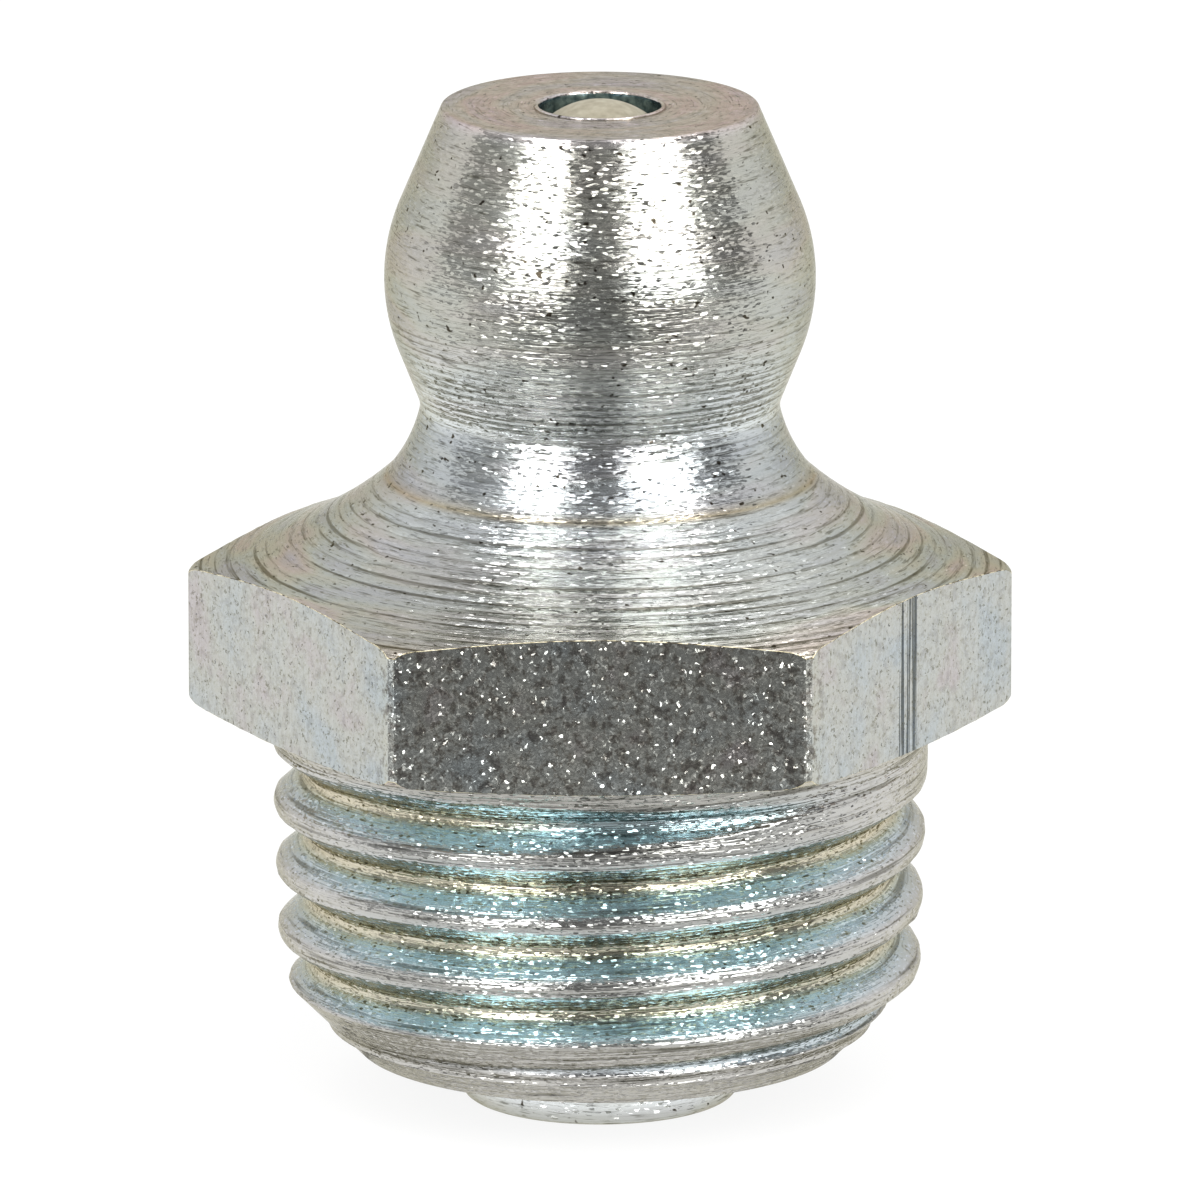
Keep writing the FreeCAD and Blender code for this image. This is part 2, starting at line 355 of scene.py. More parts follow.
thread = {
    "pitch": 1.0,
    "topRadius": 5.06,
    "taper": 1 / 32,
    "highest": -0.001,
    "lowest": -5.215,
    "shoulder": -0.26,
    "firstGroove": -0.375,
    "halfMouth": 0.375,
    "depth": 0.5,
    "flank": math.tan(math.radians(30)),
    "crestRounding": 0.15,
    "crestDrop": 0.022,
    "rootRounding": 0.08,
    # the groove widens and runs out between these heights under the hexagon
    "fadeFrom": -0.72,
    "fadeTo": -0.45,
    "fadeOver": 0.02,
    "widening": 0.3,
    # it sinks deeper into the lead cone between these heights
    "coneFrom": -4.05,
    "coneTo": -4.55,
    "coneDepth": 0.16,
    # metal that the die rolled up beside the groove, in patches
    "lip": 0.018,
    "lipWidth": 0.024,
    "lipAside": 0.02,
    "lipBelowCrest": 0.01,
    "lipShare": 0.7,
    "lipUneven": 1.2,
    "lipPatches": (1.7, 5),
    # how far the groove wanders off its helix, in waves across, upwards and in ripples
    "wander": 0.016,
    "wanderAcross": 1.1,
    "wanderUp": 1.6,
    "ripples": 5,
    "rippleShare": 0.5,
    # height, half width and depth of the two rings that the die scored under the hexagon
    "scores": ((-0.37, 0.045, 0.03), (-0.53, 0.04, 0.022)),
}


def drawOutline(bm):
    r, z = nipple["start"]
    tip = bm.verts.new((r, 0, z))
    for kind, radius, height, *sweep, rows in nipple["outline"]:
        place = Vector((radius, 0, height))
        step = (place - tip.co) / rows
        for _ in range(rows):
            tip = bmesh.ops.extrude_vert_indiv(bm, verts=[tip])["verts"][0]
            if kind == "line":
                bmesh.ops.translate(bm, verts=[tip], vec=step)
            else:
                turn = Matrix.Rotation(math.radians(sweep[0] / rows), 3, "Y")
                bmesh.ops.rotate(bm, cent=place, matrix=turn, verts=[tip])
    bmesh.ops.remove_doubles(bm, verts=bm.verts, dist=nipple["closeWithin"])


def storePath(bm):
    # The way along the outline in mm, and the count of the tool's feed marks up to there.
    layer = bm.verts.layers.float.new("turned")
    marks = bm.verts.layers.float.new("feed")
    vert = min(bm.verts, key=lambda v: (Vector((v.co.x, v.co.z)) - Vector(nipple["start"])).length)
    edge = max(vert.link_edges, key=lambda e: e.other_vert(vert).co.z)
    way = count = 0.0
    first = vert
    while True:
        vert[layer], vert[marks] = way, count
        length = edge.calc_length()
        way += length
        count += length / next(feed for stop, feed in nipple["feeds"] if way <= stop)
        vert = edge.other_vert(vert)
        if vert is first:
            break
        edge = next(e for e in vert.link_edges if e is not edge)


def cutHexagon(bm):
    # Flats, and the rounded corners as a few narrow facets.
    cuts = [(30 + 60 * side, nipple["acrossFlats"] / 2) for side in range(6)]
    for side in range(6):
        for turn, reach in nipple["cornerCuts"]:
            cuts.append((60 * side + turn, reach))
    for turn, reach in cuts:
        away = Vector((math.cos(math.radians(turn)), math.sin(math.radians(turn)), 0))
        faces = [f for f in bm.faces if f.calc_center_median().z > nipple["cutAbove"]
                 and any(v.co.dot(away) > reach - nipple["cutMargin"] for v in f.verts)]
        edges = {e for f in faces for e in f.edges}
        verts = {v for f in faces for v in f.verts}
        cut = bmesh.ops.bisect_plane(bm, geom=[*faces, *edges, *verts], dist=nipple["weldWithin"],
                                     plane_co=away * reach, plane_no=away, clear_outer=True)
        rim = [item for item in cut["geom_cut"] if isinstance(item, bmesh.types.BMEdge)]
        bmesh.ops.edgeloop_fill(bm, edges=rim, mat_nr=finish["drawn"], use_smooth=False)


def grooveDepth(off):
    # Depth of a groove at this distance from its middle, its crest and root rounded.
    slope = (thread["halfMouth"] - off) / thread["flank"]
    soft = thread["crestRounding"]
    deep = 0.5 * (slope + math.sqrt(slope * slope + soft * soft)) - thread["crestDrop"]
    over = thread["depth"] - deep
    soft = thread["rootRounding"]
    return thread["depth"] - 0.5 * (over + math.sqrt(over * over + soft * soft))


def runOut(middle):
    # 0 where the groove has its full depth, 1 where it has run out.
    return rampUp(middle, thread["fadeFrom"], thread["fadeTo"])


def sunkBy(off, middle, height):
    # How far below the crest's line the groove lies.
    fade = runOut(middle)
    lift = (thread["depth"] + thread["fadeOver"]) * fade * fade * (3 - 2 * fade)
    sunk = max(grooveDepth(abs(off) / (1 + thread["widening"] * fade)) - lift, 0.0)
    if middle > thread["fadeTo"]:
        sunk = 0.0
    onCone = rampUp(height, thread["coneFrom"], thread["coneTo"])
    return sunk + thread["coneDepth"] * onCone * sunk / thread["depth"]


def rolledLip(x, y, off, middle):
    across, along = thread["lipPatches"]
    edge = (abs(off) - thread["halfMouth"] - thread["lipAside"]) / thread["lipWidth"]
    patch = noise.noise(Vector((x * across, y * across, middle * along + off)))
    torn = thread["lipShare"] + thread["lipUneven"] * patch
    return thread["lip"] * max(torn, 0.0) * math.exp(-edge * edge)


def wanderAt(spot):
    x, y, z = spot
    across, up = thread["wanderAcross"], thread["wanderUp"]
    waves = noise.noise(Vector((x * across, y * across, z * up)))
    return thread["wander"] * (waves + thread["rippleShare"] * noise.noise(spot * thread["ripples"]))


def cutThread(bm):
    # The groove's depth, and which of its flanks a point is on, colour the plating later.
    deep = bm.verts.layers.float.new("groove")
    side = bm.verts.layers.float.new("side")
    mid = bm.verts.layers.float.new("mid")
    pitch = thread["pitch"]
    for vert in bm.verts:
        x, y, z = vert.co
        r = math.hypot(x, y)
        vert[mid] = 1.0
        if z > thread["highest"] or z < thread["lowest"] or r < nipple["shankRadius"]:
            continue
        turn = math.atan2(y, x) / math.tau
        place = z + wanderAt(vert.co)
        off = place - thread["firstGroove"] - turn * pitch
        off -= round(off / pitch) * pitch
        middle = place - off
        crest = thread["topRadius"] + z * thread["taper"]
        if z > thread["shoulder"]:
            crest = max(crest, r)
        reach = min(r, crest - sunkBy(off, middle, z))
        if z < thread["shoulder"] and r > crest - thread["lipBelowCrest"] and runOut(middle) < 1:
            reach += rolledLip(x, y, off, middle)
        vert[deep] = max(r - reach, 0.0) / thread["depth"]
        for height, width, depth in thread["scores"]:
            reach -= depth * math.exp(-((place - height) / width) ** 2) * (1 - vert[deep])
        vert[side] = math.sin(math.tau * off / pitch)
        vert[mid] = math.cos(math.tau * off / pitch)
        vert.co.x, vert.co.y = x * reach / r, y * reach / r


def breakEdges(bm):
    # The crumbly burr that the lathe leaves where the collar and the underside run out on the flats.
    rim = []
    for edge in bm.edges:
        if len(edge.link_faces) == 2 and edge.verts[0].co.z > 0.0:
            kinds = {face.material_index for face in edge.link_faces}
            if kinds == {finish["turned"], finish["drawn"]}:
                rim.append(edge)
    broken = bmesh.ops.bevel(bm, geom=rim, offset=nipple["burr"], offset_type="OFFSET",
                             segments=nipple["burrRows"], affect="EDGES", profile=0.5, material=-1,
                             clamp_overlap=True)
    for face in broken["faces"]:
        face.material_index = finish["torn"]
        face.smooth = True
    for vert in {vert for face in broken["faces"] for vert in face.verts}:
        # the flats stay flat up to their edge
        if any(face.material_index == finish["drawn"] for face in vert.link_faces):
            continue
        torn = max(sum(weight * noise.noise(vert.co * size) for size, weight in nipple["crumbs"]), 0.0)
        r = math.hypot(vert.co.x, vert.co.y)
        away = 1 - nipple["crumble"] * torn / r
        vert.co.x, vert.co.y = vert.co.x * away, vert.co.y * away


def setFinishes(bm):
    for face in bm.faces:
        centre = face.calc_center_median()
        r = math.hypot(centre.x, centre.y)
        if face.material_index == finish["turned"] and centre.z < 0 and r > nipple["shankRadius"]:
            face.material_index = finish["thread"]
        if r < nipple["boreRadius"] and nipple["boreFoot"] < centre.z < nipple["boreTop"]:
            face.material_index = finish["bore"]


def sharpenFlats(bm):
    for edge in bm.edges:
        onFlat = any(face.material_index == finish["drawn"] for face in edge.link_faces)
        if onFlat and len(edge.link_faces) == 2 and edge.calc_face_angle(0) > nipple["sharpAngle"]:
            edge.smooth = False


def makeBody():
    bm = bmesh.new()
    drawOutline(bm)
    storePath(bm)
    bmesh.ops.spin(bm, geom=[*bm.verts, *bm.edges], cent=Vector((0, 0, 0)), axis=Vector((0, 0, 1)),
                   angle=math.tau, steps=nipple["columns"], use_merge=True)
    bmesh.ops.remove_doubles(bm, verts=bm.verts, dist=nipple["weldWithin"])
    for face in bm.faces:
        face.smooth = True
    cutHexagon(bm)
    cutThread(bm)
    breakEdges(bm)
    setFinishes(bm)
    sharpenFlats(bm)
    return linkMesh("nipple_shell", bm, outward=True)


body = makeBody()
print("body made", len(body.data.polygons), "faces")


# ball
ball = {"radius": 1.25, "height": 8.349, "segments": 96, "rings": 64}


def makeBall():
    bm = bmesh.new()
    bmesh.ops.create_uvsphere(bm, u_segments=ball["segments"], v_segments=ball["rings"],
                              radius=ball["radius"])
    bmesh.ops.translate(bm, vec=Vector((0, 0, ball["height"])), verts=bm.verts)
    for face in bm.faces:
        face.smooth = True
    return linkMesh("valve_ball_polished", bm, outward=True)


ballPiece = makeBall()
print("ball made")


# settings of the nodes that mix two colours
multiply = {"data_type": "RGBA", "blend_type": "MULTIPLY"}
blend = {"data_type": "RGBA", "blend_type": "MIX"}

# plating, whose real crystals of about 0.01 mm are drawn three to eight times coarser, so that they show
zinc = {
    "edgeTint": "#cfccbd",
    "outlineLength": 24.0,
    # colour of the film (lighter at the waist as painted reflection, near white at the nose's end as a
    # painted highlight), and depth of the feed marks, at so many mm along the outline
    "filmAndPaintedLight": ((0.3, "#f4e8f0"), (1.7, "#f4e8f0"), (2.0, "#bebfb8"), (3.9, "#bebfb9"), (5.0, "#bcbeb8"),
             (6.2, "#e0e6e8"), (6.7, "#eaf0f2"), (6.9, "#bfc5c8"), (7.85, "#bdc2c5"), (7.92, "#b5ab94"),
             (8.0, "#b5ab94"), (8.07, "#d0d5d7"), (10.5, "#cdcfcb"), (11.2, "#cfc9c1"),
             (14.6, "#bfbdb2"), (21.5, "#c9cdcb"), (22.0, "#f4f8f8"), (22.4, "#f4f8f8"),
             (22.6, "#c6c7c2")),
    "marks": ((1.8, "#404040"), (2.2, "#626262"), (4.6, "#6c6c6c"), (5.3, "#d0d0d0"), (6.6, "#dcdcdc"),
              (7.4, "#7c7c7c"), (8.2, "#e0e0e0"), (11.4, "#ffffff"), (11.8, "#707070")),
}


def stretched(tree, around, along):
    # Places for a pattern: so many cells to a mm round the axis, and so many along the turned outline.
    place = addNode(tree, "ShaderNodeTexCoord").outputs["Object"]
    flat = addNode(tree, "ShaderNodeVectorMath", {"operation": "MULTIPLY"},
                   {1: (around * 1000, around * 1000, 0)}, {0: place})
    way = addNode(tree, "ShaderNodeAttribute", {"attribute_name": "turned"}).outputs["Fac"]
    lift = addNode(tree, "ShaderNodeVectorMath", {"operation": "SCALE"}, {0: (0, 0, along)},
                   {"Scale": way})
    return addNode(tree, "ShaderNodeVectorMath", {"operation": "ADD"},
                   links={0: flat.outputs[0], 1: lift.outputs[0]}).outputs[0]


def tiltedGrains(tree, place, tilt, normal):
    # Crystals that lean each its own way, by a fifth power: most hardly at all, a few a lot, and
    # those glint.
    cells = addNode(tree, "ShaderNodeTexVoronoi", values={"Scale": 1.0}, links={"Vector": place})
    lean = addNode(tree, "ShaderNodeVectorMath", {"operation": "MULTIPLY_ADD"},
                   {1: (2, 2, 2), 2: (-1, -1, -1)}, {0: cells.outputs["Color"]})
    square = addNode(tree, "ShaderNodeVectorMath", {"operation": "MULTIPLY"},
                     links={0: lean.outputs[0], 1: lean.outputs[0]})
    lean = addNode(tree, "ShaderNodeVectorMath", {"operation": "MULTIPLY"},
                   links={0: square.outputs[0], 1: lean.outputs[0]})
    lean = addNode(tree, "ShaderNodeVectorMath", {"operation": "MULTIPLY"},
                   links={0: square.outputs[0], 1: lean.outputs[0]})
    leaned = addNode(tree, "ShaderNodeVectorMath", {"operation": "MULTIPLY_ADD"}, {1: tilt},
                     {0: lean.outputs[0], 2: normal})
    return addNode(tree, "ShaderNodeVectorMath", {"operation": "NORMALIZE"},
                   links={0: leaned.outputs[0]}).outputs[0]


def feedRings(tree, place):
    # Feed marks that run right round, one wave for each count along the outline. What is left of the
    # place round the axis makes them waver every few mm.
    flat = addNode(tree, "ShaderNodeVectorMath", {"operation": "MULTIPLY"}, {1: (160, 160, 0)}, {0: place})
    count = addNode(tree, "ShaderNodeAttribute", {"attribute_name": "feed"}).outputs["Fac"]
    lift = addNode(tree, "ShaderNodeVectorMath", {"operation": "SCALE"}, {0: (0, 0, 1)}, {"Scale": count})
    ringPlace = addNode(tree, "ShaderNodeVectorMath", {"operation": "ADD"},
                        links={0: flat.outputs[0], 1: lift.outputs[0]})
    waves = addNode(tree, "ShaderNodeTexWave", {"bands_direction": "Z"},
                    {"Scale": 0.314, "Distortion": 2.6, "Detail": 2.0, "Detail Scale": 1.6,
                     "Detail Roughness": 0.6}, {"Vector": ringPlace.outputs[0]})
    # some passes cut deeper than others
    passes = addNode(tree, "ShaderNodeTexNoise", values={"Scale": 1.3, "Detail": 4.0, "Roughness": 0.8},
                     links={"Vector": ringPlace.outputs[0]})
    return addNode(tree, "ShaderNodeMath", {"operation": "MULTIPLY_ADD"}, {1: 0.4},
                   {0: waves.outputs["Fac"], 2: passes.outputs["Fac"]})


def topAndSheenSides(tree, place, way):
    # On the top face, where the film is thin, and at the left and right sides of the collar, where its
    # grazing sheen is painted.
    onTop = addNode(tree, "ShaderNodeMapRange",
                    values={"From Min": 1.95, "From Max": 1.75, "To Min": 0.0, "To Max": 0.5},
                    links={"Value": way})
    ways = addNode(tree, "ShaderNodeSeparateXYZ", links={0: place})
    sideways = addNode(tree, "ShaderNodeMath", {"operation": "ABSOLUTE"}, links={0: ways.outputs[0]})
    sheenSides = addNode(tree, "ShaderNodeMapRange",
                    values={"From Min": 0.0026, "From Max": 0.005, "To Min": 0.12, "To Max": 0.55},
                    links={"Value": sideways.outputs[0]})
    thinFilmAndSheen = addNode(tree, "ShaderNodeMath", {"operation": "MAXIMUM"},
                   links={0: sheenSides.outputs[0], 1: onTop.outputs[0]})
    return onTop, thinFilmAndSheen


def turnedZinc():
    # Zinc plate over turned free-cutting steel, blue passivated: bright and streaky, because the
    # tool's feed marks break each highlight up, with crystals that glint and a few dark pits.
    material, tree = newMaterial("zinc_plate_on_turned_steel")
    place = addNode(tree, "ShaderNodeTexCoord").outputs["Object"]
    way = addNode(tree, "ShaderNodeAttribute", {"attribute_name": "turned"}).outputs["Fac"]
    share = addNode(tree, "ShaderNodeMath", {"operation": "DIVIDE"}, {1: zinc["outlineLength"]}, {0: way})
    rings = feedRings(tree, place)
    # torn metal in dashes 0.4 mm long and 0.04 mm thick
    dashes = addNode(tree, "ShaderNodeTexNoise", values={"Scale": 1.0, "Detail": 2.0, "Roughness": 0.6},
                     links={"Vector": stretched(tree, 2.4, 25.0)})
    # how deep the rings are: faint on the head, deep below it and on the collar
    deep = addNode(tree, "ShaderNodeValToRGB", links={0: share.outputs[0]},
                   stops=[(at / zinc["outlineLength"], grey) for at, grey in zinc["marks"]])
    ringHeight = addNode(tree, "ShaderNodeMath", {"operation": "MULTIPLY"},
                         links={0: rings.outputs[0], 1: deep.outputs[0]})
    ringBump = addNode(tree, "ShaderNodeBump", values={"Strength": 1.0, "Distance": 0.000028},
                       links={"Height": ringHeight.outputs[0]})
    dashBump = addNode(tree, "ShaderNodeBump", values={"Strength": 1.0, "Distance": 0.000009},
                       links={"Height": dashes.outputs["Fac"], "Normal": ringBump.outputs[0]})
    normal = tiltedGrains(tree, stretched(tree, 12.0, 32.0), (0.2, 0.2, 0.5), dashBump.outputs[0])
    # passivation film: pinkish on the top face, bluish at the waist, warmer on the collar's outer part;
    # lighter at the lower head and waist as painted reflection, near white at the nose's end as a painted
    # highlight
    filmAndPaintedLight = addNode(tree, "ShaderNodeValToRGB", links={0: share.outputs[0]},
                   stops=[(at / zinc["outlineLength"], colour) for at, colour in zinc["filmAndPaintedLight"]])
    # where it is thin, and as painted sheen at the left and right sides, it shows pink, straw and violet in
    # clouds of 1 to 3 mm
    onTop, thinFilmAndSheen = topAndSheenSides(tree, place, way)
    clouds = addNode(tree, "ShaderNodeTexNoise", values={"Scale": 1.0, "Detail": 2.0},
                     links={"Vector": stretched(tree, 0.38, 1.5)})
    patch = addNode(tree, "ShaderNodeValToRGB", links={0: clouds.outputs["Fac"]},
                    stops=[(0.32, "#b3b4c3"), (0.43, "#bcc2ba"), (0.5, "#cbc4ab"), (0.58, "#d3b6a9"),
                           (0.7, "#bfb0c0")])
    filmed = addNode(tree, "ShaderNodeMix", blend,
                     links={0: thinFilmAndSheen.outputs[0], 6: filmAndPaintedLight.outputs[0], 7: patch.outputs[0]})
    marks = addNode(tree, "ShaderNodeValToRGB", links={0: dashes.outputs["Fac"]},
                    stops=[(0.28, "#8f8d84"), (0.44, "#ffffff")])
    marked = addNode(tree, "ShaderNodeMix", multiply, {0: 0.8},
                     {6: filmed.outputs[2], 7: marks.outputs[0]})
    # pits about 0.1 mm wide
    pits = addNode(tree, "ShaderNodeTexNoise", values={"Scale": 1.0, "Detail": 1.0},
                   links={"Vector": stretched(tree, 7.0, 10.0)})
    pitted = addNode(tree, "ShaderNodeValToRGB", links={0: pits.outputs["Fac"]},
                     stops=[(0.25, "#5d564c"), (0.3, "#ffffff")])
    base = addNode(tree, "ShaderNodeMix", multiply, {0: 1.0}, {6: marked.outputs[2], 7: pitted.outputs[0]})
    # a mottle of 0.24 mm on the top face
    mottle = addNode(tree, "ShaderNodeTexNoise", values={"Scale": 4200.0, "Detail": 4.0, "Roughness": 0.7},
                     links={"Vector": place})
    mottled = addNode(tree, "ShaderNodeValToRGB", links={0: mottle.outputs["Fac"]},
                      stops=[(0.36, "#a8a69c"), (0.5, "#ece6e2"), (0.64, "#ffffff")])
    base = addNode(tree, "ShaderNodeMix", multiply,
                   links={0: onTop.outputs[0], 6: base.outputs[2], 7: mottled.outputs[0]})
    # the deep rings are darker in their troughs
    troughTint = addNode(tree, "ShaderNodeValToRGB", links={0: rings.outputs[0]},
                   stops=[(0.43, "#918d83"), (0.56, "#ffffff")])
    base = addNode(tree, "ShaderNodeMix", multiply,
                   links={0: deep.outputs[0], 6: base.outputs[2], 7: troughTint.outputs[0]})
    bsdf = addNode(tree, "ShaderNodeBsdfPrincipled",
                   values={"Metallic": 1.0, "Roughness": 0.19, "Specular Tint": toLinear(zinc["edgeTint"])},
                   links={"Base Color": base.outputs[2], "Normal": normal})
    addNode(tree, "ShaderNodeOutputMaterial", links={"Surface": bsdf.outputs[0]})
    return material


def drawnZinc():
    # Zinc plate over cold-drawn bar: even grey with sparse bright crystals and brown stains, and one
    # band where the draw lines that run up and down are deep.
    material, tree = newMaterial("zinc_plate_on_drawn_steel")
    place = addNode(tree, "ShaderNodeTexCoord").outputs["Object"]
    # the skin is uneven at 0.09 mm
    skin = addNode(tree, "ShaderNodeTexNoise", values={"Scale": 11000.0, "Detail": 3.0, "Roughness": 0.6},
                   links={"Vector": place})
    skinBump = addNode(tree, "ShaderNodeBump", values={"Strength": 1.0, "Distance": 0.000006},
                       links={"Height": skin.outputs["Fac"]})
    # draw lines 0.06 mm apart and up to 4 mm long
    upright = addNode(tree, "ShaderNodeVectorMath", {"operation": "MULTIPLY"}, {1: (17000, 17000, 260)},
                      {0: place})
    drawn = addNode(tree, "ShaderNodeTexNoise", values={"Scale": 1.0, "Detail": 2.0},
                    links={"Vector": upright.outputs[0]})
    # the scored band, near the middle of one flat: mm along this flat, and mm out from the axis
    across = addNode(tree, "ShaderNodeVectorMath", {"operation": "DOT_PRODUCT"}, {1: (500, 866, 0)},
                     {0: place})
    outwards = addNode(tree, "ShaderNodeVectorMath", {"operation": "DOT_PRODUCT"}, {1: (866, -500, 0)},
                       {0: place})
    near = addNode(tree, "ShaderNodeMath", {"operation": "COMPARE"}, {1: -0.1, 2: 0.34},
                   {0: across.outputs["Value"]})
    onFlat = addNode(tree, "ShaderNodeMath", {"operation": "COMPARE"}, {1: 5.5, 2: 0.1},
                     {0: outwards.outputs["Value"]})
    scored = addNode(tree, "ShaderNodeMath", {"operation": "MULTIPLY"},
                     links={0: near.outputs[0], 1: onFlat.outputs[0]})
    weight = addNode(tree, "ShaderNodeMapRange", values={"To Min": 0.06, "To Max": 1.0},
                     links={"Value": scored.outputs[0]})
    scoreHeight = addNode(tree, "ShaderNodeMath", {"operation": "MULTIPLY"},
                          links={0: drawn.outputs["Fac"], 1: weight.outputs[0]})
    scoreBump = addNode(tree, "ShaderNodeBump", values={"Strength": 1.0, "Distance": 0.000016},
                        links={"Height": scoreHeight.outputs[0], "Normal": skinBump.outputs[0]})
    # crystals of 0.04 mm, ragged like the skin
    fine = addNode(tree, "ShaderNodeVectorMath", {"operation": "SCALE"}, {"Scale": 27000.0}, {0: place})
    grainPlace = addNode(tree, "ShaderNodeVectorMath", {"operation": "MULTIPLY_ADD"}, {1: (4, 4, 4)},
                         {0: skin.outputs["Color"], 2: fine.outputs[0]})
    normal = tiltedGrains(tree, grainPlace.outputs[0], (0.38, 0.38, 0.38), scoreBump.outputs[0])
    # clouds of 1.1 mm in the passivation film
    clouds = addNode(tree, "ShaderNodeTexNoise", values={"Scale": 900.0, "Detail": 3.0},
                     links={"Vector": place})
    cloudTint = addNode(tree, "ShaderNodeValToRGB", links={0: clouds.outputs["Fac"]},
                        stops=[(0.32, "#bdc5cb"), (0.44, "#c3c7c8"), (0.56, "#c5c7c5"), (0.68, "#c5c1c4")])
    # brown stains of 0.16 mm, strongest on one flat
    stains = addNode(tree, "ShaderNodeTexNoise", values={"Scale": 6400.0, "Detail": 4.0, "Roughness": 0.7},
                     links={"Vector": place})
    stained = addNode(tree, "ShaderNodeValToRGB", links={0: stains.outputs["Fac"]},
                      stops=[(0.36, "#705c47"), (0.43, "#b3a893"), (0.5, "#fffdf2")])
    ways = addNode(tree, "ShaderNodeSeparateXYZ", links={0: place})
    soiled = addNode(tree, "ShaderNodeMapRange",
                     values={"From Min": -0.0054, "From Max": -0.0051, "To Min": 0.66, "To Max": 0.22},
                     links={"Value": ways.outputs[1]})
    base = addNode(tree, "ShaderNodeMix", multiply,
                   links={0: soiled.outputs[0], 6: cloudTint.outputs[0], 7: stained.outputs[0]})
    scoreTint = addNode(tree, "ShaderNodeValToRGB", links={0: drawn.outputs["Fac"]},
                        stops=[(0.42, "#858a90"), (0.52, "#ffffff")])
    base = addNode(tree, "ShaderNodeMix", multiply,
                   links={0: weight.outputs[0], 6: base.outputs[2], 7: scoreTint.outputs[0]})
    bsdf = addNode(tree, "ShaderNodeBsdfPrincipled",
                   values={"Metallic": 1.0, "Roughness": 0.2, "Specular Tint": toLinear(zinc["edgeTint"])},
                   links={"Base Color": base.outputs[2], "Normal": normal})
    addNode(tree, "ShaderNodeOutputMaterial", links={"Surface": bsdf.outputs[0]})
    return material


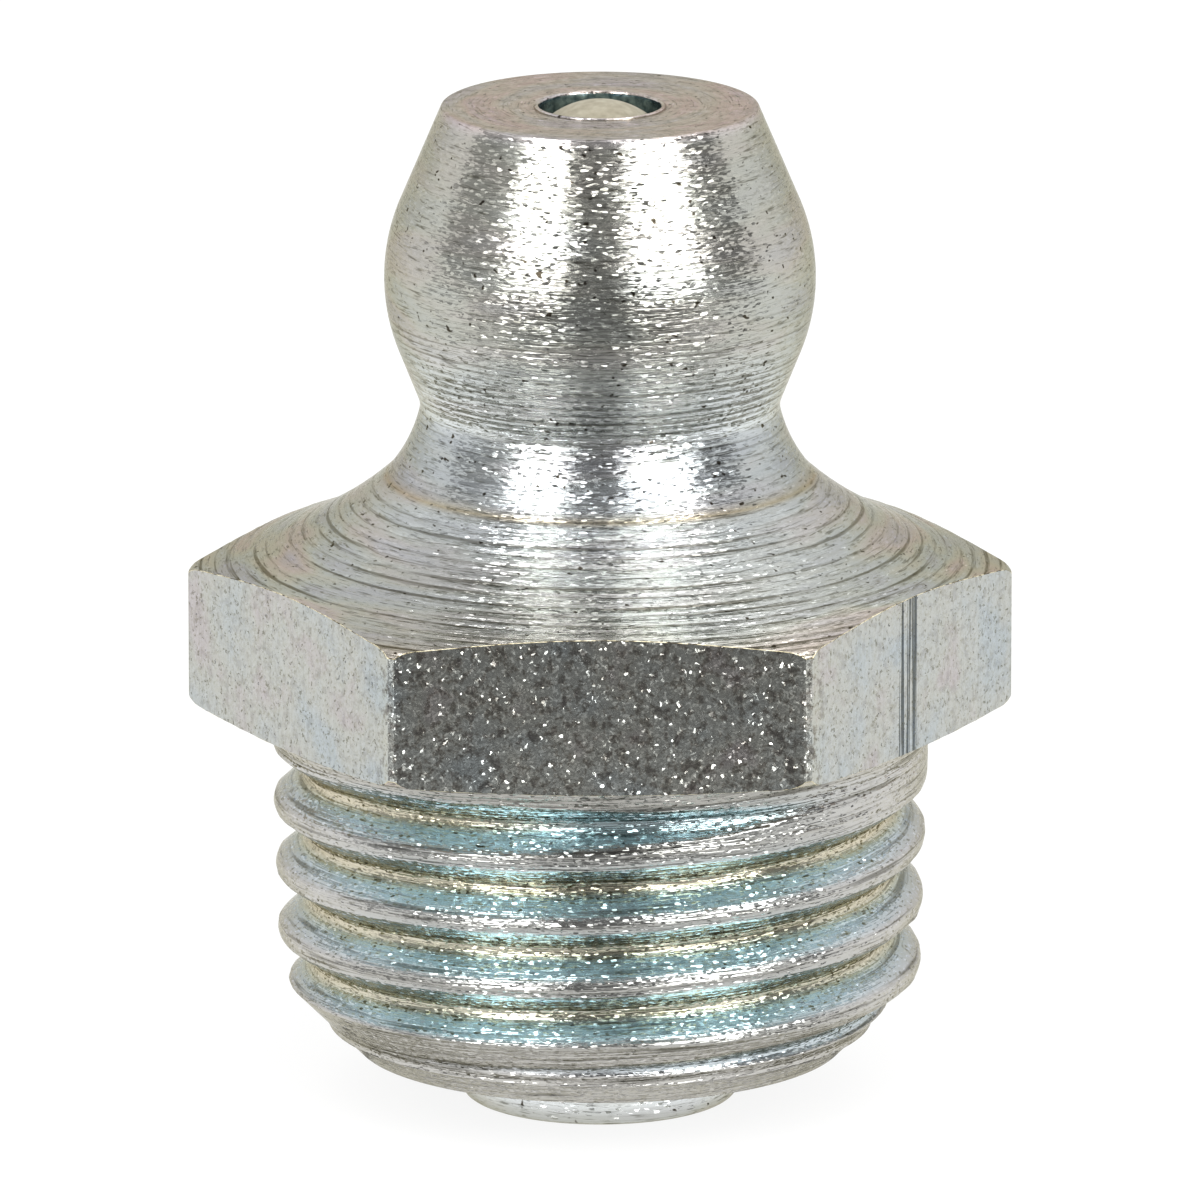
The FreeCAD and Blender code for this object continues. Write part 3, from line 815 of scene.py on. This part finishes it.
def threadZinc():
    # Zinc plate in a cut thread: the bath leaves the flanks blue-green, the roots straw coloured and the
    # crests grey, with lines that the die drew along the helix.
    # The flanks are painted lighter than the film alone, as painted light in the groove's shade.
    material, tree = newMaterial("zinc_plate_on_cut_thread")
    place = addNode(tree, "ShaderNodeTexCoord").outputs["Object"]
    deep = addNode(tree, "ShaderNodeAttribute", {"attribute_name": "groove"}).outputs["Fac"]
    side = addNode(tree, "ShaderNodeAttribute", {"attribute_name": "side"}).outputs["Fac"]
    mid = addNode(tree, "ShaderNodeAttribute", {"attribute_name": "mid"}).outputs["Fac"]
    # lines 0.06 mm apart that keep to the helix: two numbers place a point in the groove's profile
    flat = addNode(tree, "ShaderNodeVectorMath", {"operation": "MULTIPLY"}, {1: (420, 420, 560)},
                   {0: place})
    turned = addNode(tree, "ShaderNodeVectorMath", {"operation": "SCALE"}, {0: (0, 0, 2.7)}, {"Scale": mid})
    linePlace = addNode(tree, "ShaderNodeVectorMath", {"operation": "ADD"},
                        links={0: flat.outputs[0], 1: turned.outputs[0]})
    lineTurn = addNode(tree, "ShaderNodeMath", {"operation": "MULTIPLY"}, {1: 2.7}, {0: side})
    lines = addNode(tree, "ShaderNodeTexNoise", {"noise_dimensions": "4D"},
                    {"Scale": 1.0, "Detail": 2.2, "Roughness": 0.6},
                    {"Vector": linePlace.outputs[0], "W": lineTurn.outputs[0]})
    lineBump = addNode(tree, "ShaderNodeBump", values={"Strength": 1.0, "Distance": 0.00004},
                       links={"Height": lines.outputs["Fac"]})
    normal = tiltedGrains(tree, stretched(tree, 15.0, 36.0), (0.34, 0.34, 0.65), lineBump.outputs[0])
    # flank colours painted lighter, as painted light where the groove is shaded
    upper = addNode(tree, "ShaderNodeValToRGB", links={0: deep},
                    stops=[(0.0, "#adaca7"), (0.1, "#bfc2c1"), (0.22, "#c4d9dd"), (0.75, "#bddae0"),
                           (0.9, "#c6cec4"), (1.0, "#d0cbb4")])
    lower = addNode(tree, "ShaderNodeValToRGB", links={0: deep},
                    stops=[(0.0, "#adaca7"), (0.1, "#bfc4c4"), (0.25, "#c3d6dc"), (0.7, "#c9d8dc"),
                           (1.0, "#d0cbb8")])
    facing = addNode(tree, "ShaderNodeMapRange", values={"From Min": -0.3, "From Max": 0.3},
                     links={"Value": side})
    tint = addNode(tree, "ShaderNodeMix", blend,
                   links={0: facing.outputs[0], 6: upper.outputs[0], 7: lower.outputs[0]})
    # the left and right sides of the thread go pale lilac as painted sheen, and the lead cone goes pale
    # lilac and lighter, partly its film and partly painted reflection
    ways = addNode(tree, "ShaderNodeSeparateXYZ", links={0: place})
    sideways = addNode(tree, "ShaderNodeMath", {"operation": "ABSOLUTE"}, links={0: ways.outputs[0]})
    thinFilmAndSheen = addNode(tree, "ShaderNodeMapRange",
                   values={"From Min": 0.0026, "From Max": 0.0048, "To Max": 0.75},
                   links={"Value": sideways.outputs[0]})
    onCone = addNode(tree, "ShaderNodeMapRange",
                     values={"From Min": -0.004, "From Max": -0.0043, "To Min": 0.0, "To Max": 0.5},
                     links={"Value": ways.outputs[2]})
    thinFilmAndSheen = addNode(tree, "ShaderNodeMath", {"operation": "MAXIMUM"},
                   links={0: thinFilmAndSheen.outputs[0], 1: onCone.outputs[0]})
    lilac = addNode(tree, "ShaderNodeValToRGB", links={0: deep},
                    stops=[(0.0, "#dddbd7"), (0.2, "#dad7dc"), (0.6, "#d3d7e0"), (0.85, "#e4dfcc"),
                           (1.0, "#e2d8c6")])
    filmed = addNode(tree, "ShaderNodeMix", blend,
                     links={0: thinFilmAndSheen.outputs[0], 6: tint.outputs[2], 7: lilac.outputs[0]})
    marks = addNode(tree, "ShaderNodeValToRGB", links={0: lines.outputs["Fac"]},
                    stops=[(0.34, "#77756d"), (0.46, "#ffffff")])
    base = addNode(tree, "ShaderNodeMix", multiply, {0: 0.7},
                   {6: filmed.outputs[2], 7: marks.outputs[0]})
    bsdf = addNode(tree, "ShaderNodeBsdfPrincipled",
                   values={"Metallic": 1.0, "Roughness": 0.17, "Specular Tint": toLinear(zinc["edgeTint"])},
                   links={"Base Color": base.outputs[2], "Normal": normal})
    addNode(tree, "ShaderNodeOutputMaterial", links={"Surface": bsdf.outputs[0]})
    return material


# metals with one pattern each: specks per metre, their detail and colours, relief in metres, roughness
specked = {
    # Drilled steel with little plating: darker and bluer than the outside, tool marks of 0.11 mm.
    "blued_steel_in_drilled_bore": (9000.0, 3.0, ((0.35, "#43575e"), (0.7, "#8fa5a9")), 0.00001, 0.26),
    # Plating over the edge that the turning tool tore: rough and straw coloured, crumbs of 0.12 mm.
    "zinc_plate_on_torn_edge": (8500.0, 3.0, ((0.4, "#4f4636"), (0.47, "#c4b998"), (0.62, "#ece4c9")),
                                0.00005, 0.5),
    # Steel ball, dulled by handling: a soft beige grey with scuffs of 0.17 mm.
    "dulled_steel_ball": (6000.0, 5.0, ((0.3, "#9d9786"), (0.7, "#b6b1a1")), 0.000004, 0.8),
    # Hard-drawn spring wire, oiled: a darker grey in patches of 0.12 mm, and smooth.
    "drawn_spring_wire": (8000.0, 3.0, ((0.3, "#6f6e69"), (0.7, "#96958f")), None, 0.32),
}


def speckedMetal(name):
    scale, detail, stops, relief, roughness = specked[name]
    material, tree = newMaterial(name)
    place = addNode(tree, "ShaderNodeTexCoord").outputs["Object"]
    specks = addNode(tree, "ShaderNodeTexNoise", values={"Scale": scale, "Detail": detail},
                     links={"Vector": place})
    tint = addNode(tree, "ShaderNodeValToRGB", links={0: specks.outputs["Fac"]}, stops=stops)
    surface = {"Base Color": tint.outputs[0]}
    if relief:
        bump = addNode(tree, "ShaderNodeBump", values={"Strength": 1.0, "Distance": relief},
                       links={"Height": specks.outputs["Fac"]})
        surface["Normal"] = bump.outputs[0]
    bsdf = addNode(tree, "ShaderNodeBsdfPrincipled", values={"Metallic": 1.0, "Roughness": roughness},
                   links=surface)
    addNode(tree, "ShaderNodeOutputMaterial", links={"Surface": bsdf.outputs[0]})
    return material


# in the order of the body's slots
for material in (turnedZinc(), drawnZinc(), threadZinc(), speckedMetal("blued_steel_in_drilled_bore"),
                 speckedMetal("zinc_plate_on_torn_edge")):
    body.data.materials.append(material)
ballPiece.data.materials.append(speckedMetal("dulled_steel_ball"))
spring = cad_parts["spring"]
spring.data.materials.clear()
spring.data.materials.append(speckedMetal("drawn_spring_wire"))
print("finishes made")

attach(body, "nipple")
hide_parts("nipple_body")
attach(ballPiece, "valve_ball")
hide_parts("check_ball")
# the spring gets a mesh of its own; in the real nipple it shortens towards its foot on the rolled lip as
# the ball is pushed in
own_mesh(spring)
